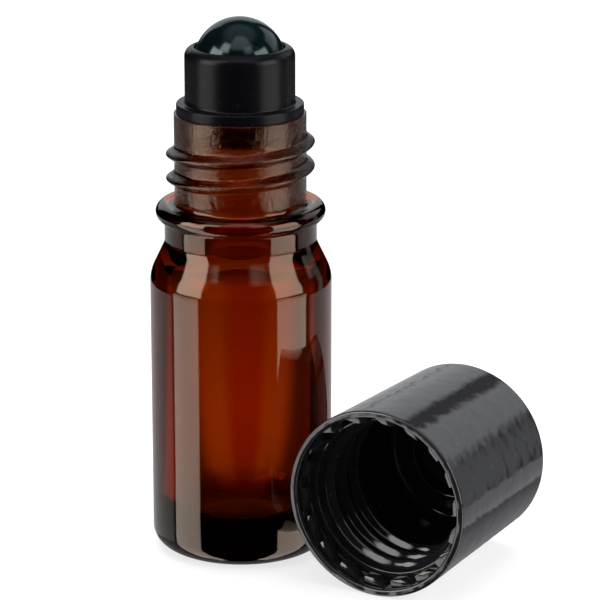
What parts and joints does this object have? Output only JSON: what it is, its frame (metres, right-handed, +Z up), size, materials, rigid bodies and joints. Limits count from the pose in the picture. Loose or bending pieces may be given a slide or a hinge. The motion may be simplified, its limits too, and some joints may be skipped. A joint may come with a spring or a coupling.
{
  "type": "roll-on bottle",
  "caption": "Small amber glass roll-on bottle with a black ball fitment pressed into its threaded neck and a black screw cap lying beside it.",
  "frame": {"origin": "middle of the bottle's base, on the surface it stands on", "axes": "+Z up along the bottle's axis; the cap lies at +X with its axis along Y and its mouth towards -Y"},
  "size_m": [0.0454, 0.0265, 0.0658],
  "materials": {
    "amber_glass": "clear amber, fire-polished",
    "black_polyethylene": "smooth glossy black",
    "dark_ball": "polished dark green-black",
    "black_polypropylene": "glossy black, faintly wavy"
  },
  "bodies": {
    "bottle": {"glass_bottle": "amber_glass", "roller_housing": "black_polyethylene"},
    "ball": {"roller_ball": "dark_ball"},
    "cap": {"screw_cap": "black_polypropylene"}
  },
  "joints": [
    {"name": "ball_roll", "type": "hinge", "parent": "bottle", "child": "ball", "pos_m": [0, 0, 0.06023], "axis": [1, 0, 0], "continuous": true},
    {"name": "cap_lift", "type": "slide", "parent": "bottle", "child": "cap", "axis": [0, 0, 1], "range_m": [0, 0.07]}
  ]
}
